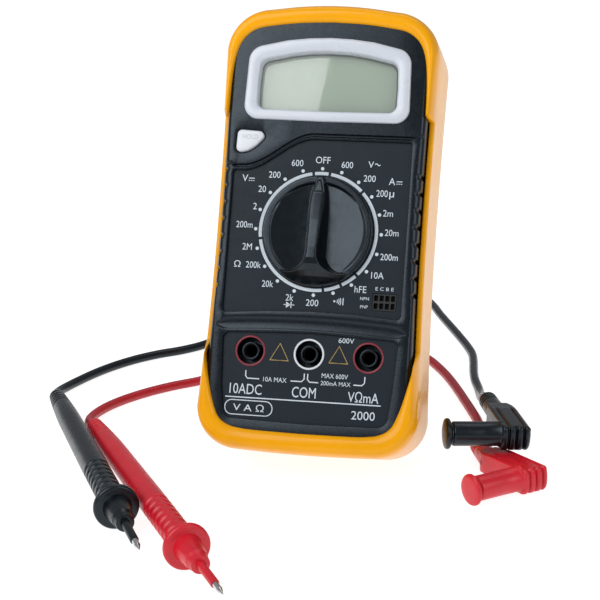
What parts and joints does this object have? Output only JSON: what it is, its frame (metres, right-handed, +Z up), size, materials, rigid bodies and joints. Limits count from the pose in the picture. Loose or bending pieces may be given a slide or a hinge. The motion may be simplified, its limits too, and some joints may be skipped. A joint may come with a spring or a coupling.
{
  "type": "digital multimeter",
  "caption": "Handheld digital multimeter in a rubber holster, leaning on its tilt stand, with a black and a red test lead.",
  "frame": {"origin": "on the surface that the meter stands on, under the middle of the box of the meter, its holster and its open stand", "axes": "+Z up; the meter's width runs along X; its face looks towards -Y and leans back by 22 degrees"},
  "size_m": [0.1826, 0.3116, 0.1474],
  "materials": {
    "holster_rubber": "satin",
    "stand_plastic": "satin",
    "case_plastic": "fine texture",
    "bezel_plastic": "satin",
    "window_plastic": "gloss",
    "lcd_glass": "gloss",
    "frame_plastic": "satin",
    "connector_rubber": "satin",
    "label_print": "satin",
    "ring_red": "satin",
    "ring_white": "satin",
    "contact_brass": "satin",
    "socket_plastic": "satin",
    "knob_plastic": "gloss",
    "nylon": "satin",
    "ball_steel": "polished",
    "spring_steel": "satin",
    "button_plastic": "satin",
    "switch_plastic": "satin",
    "board_laminate": "satin",
    "chip_epoxy": "gloss",
    "component_body": "satin",
    "trimmer_plastic": "satin",
    "buzzer_plastic": "satin",
    "fuse_glass": "gloss",
    "clip_metal": "satin",
    "shunt_metal": "satin",
    "battery_can": "satin",
    "snap_plastic": "satin",
    "wire_red": "satin",
    "wire_black": "satin",
    "screw_steel": "satin",
    "lead_plastic_black": "satin",
    "lead_plastic_red": "satin",
    "cable_black": "satin",
    "cable_red": "satin",
    "pin_nickel": "polished",
    "tip_steel": "polished"
  },
  "bodies": {
    "meter": {"holster": "holster_rubber", "front_casing": "case_plastic", "rear_casing": "case_plastic", "display_bezel": "bezel_plastic", "display_window": "window_plastic", "lcd_panel": "lcd_glass", "lcd_frame": "frame_plastic", "lcd_connector": "connector_rubber", "dial_label": "label_print", "jack_label": "label_print", "jack_ring_10a": "ring_red", "jack_ring_com": "ring_white", "jack_ring_ma": "ring_red", "jack_sleeve_10a": "contact_brass", "jack_sleeve_com": "contact_brass", "jack_sleeve_ma": "contact_brass", "transistor_socket": "socket_plastic", "hold_switch": "switch_plastic", "main_board": "board_laminate", "measuring_chip": "chip_epoxy", "board_components": "component_body", "calibration_trimmer": "trimmer_plastic", "buzzer": "buzzer_plastic", "fuse": "fuse_glass", "fuse_clips": "clip_metal", "shunt_wire": "shunt_metal", "battery": "battery_can", "battery_snap": "snap_plastic", "battery_wire_red": "wire_red", "battery_wire_black": "wire_black", "board_screws": "screw_steel", "case_screws": "screw_steel", "plug_body_black": "lead_plastic_black", "plug_pin_black": "pin_nickel", "probe_handle_black": "lead_plastic_black", "probe_tip_black": "tip_steel", "cable_plug_side_black": "cable_black", "cable_coil_black": "cable_black", "cable_probe_side_black": "cable_black", "plug_body_red": "lead_plastic_red", "plug_pin_red": "pin_nickel", "probe_handle_red": "lead_plastic_red", "probe_tip_red": "tip_steel", "cable_plug_side_red": "cable_red", "cable_coil_red": "cable_red", "cable_probe_side_red": "cable_red"},
    "selector": {"range_knob": "knob_plastic", "contact_rotor": "nylon", "rotor_contacts": "contact_brass", "detent_balls": "ball_steel", "detent_springs": "spring_steel"},
    "hold_button": {"hold_button": "button_plastic", "hold_plunger": "switch_plastic"},
    "tilt_stand": {"tilt_stand": "stand_plastic"},
    "plug_cap_black": {"plug_cap_black": "lead_plastic_black"},
    "plug_cap_red": {"plug_cap_red": "lead_plastic_red"}
  },
  "joints": [
    {"name": "selector_turn", "type": "hinge", "parent": "meter", "child": "selector", "pos_m": [0, -0.0175, 0.0779], "axis": [0, -0.9272, 0.3746], "continuous": true},
    {"name": "hold_press", "type": "slide", "parent": "meter", "child": "hold_button", "axis": [0, 0.9272, -0.3746], "range_m": [0, 0.001], "stiffness_N_per_m": 800, "springref_m": -0.0005},
    {"name": "stand_fold", "type": "hinge", "parent": "meter", "child": "tilt_stand", "pos_m": [0, 0.02565, 0.09606], "axis": [-1, 0, 0], "range_deg": [0, 33.42]},
    {"name": "cap_black_pull", "type": "slide", "parent": "meter", "child": "plug_cap_black", "axis": [-0.9506, -0.307, 0.0454], "range_m": [0, 0.004]},
    {"name": "cap_red_pull", "type": "slide", "parent": "meter", "child": "plug_cap_red", "axis": [-0.7547, -0.656, -0.0087], "range_m": [0, 0.025]}
  ]
}
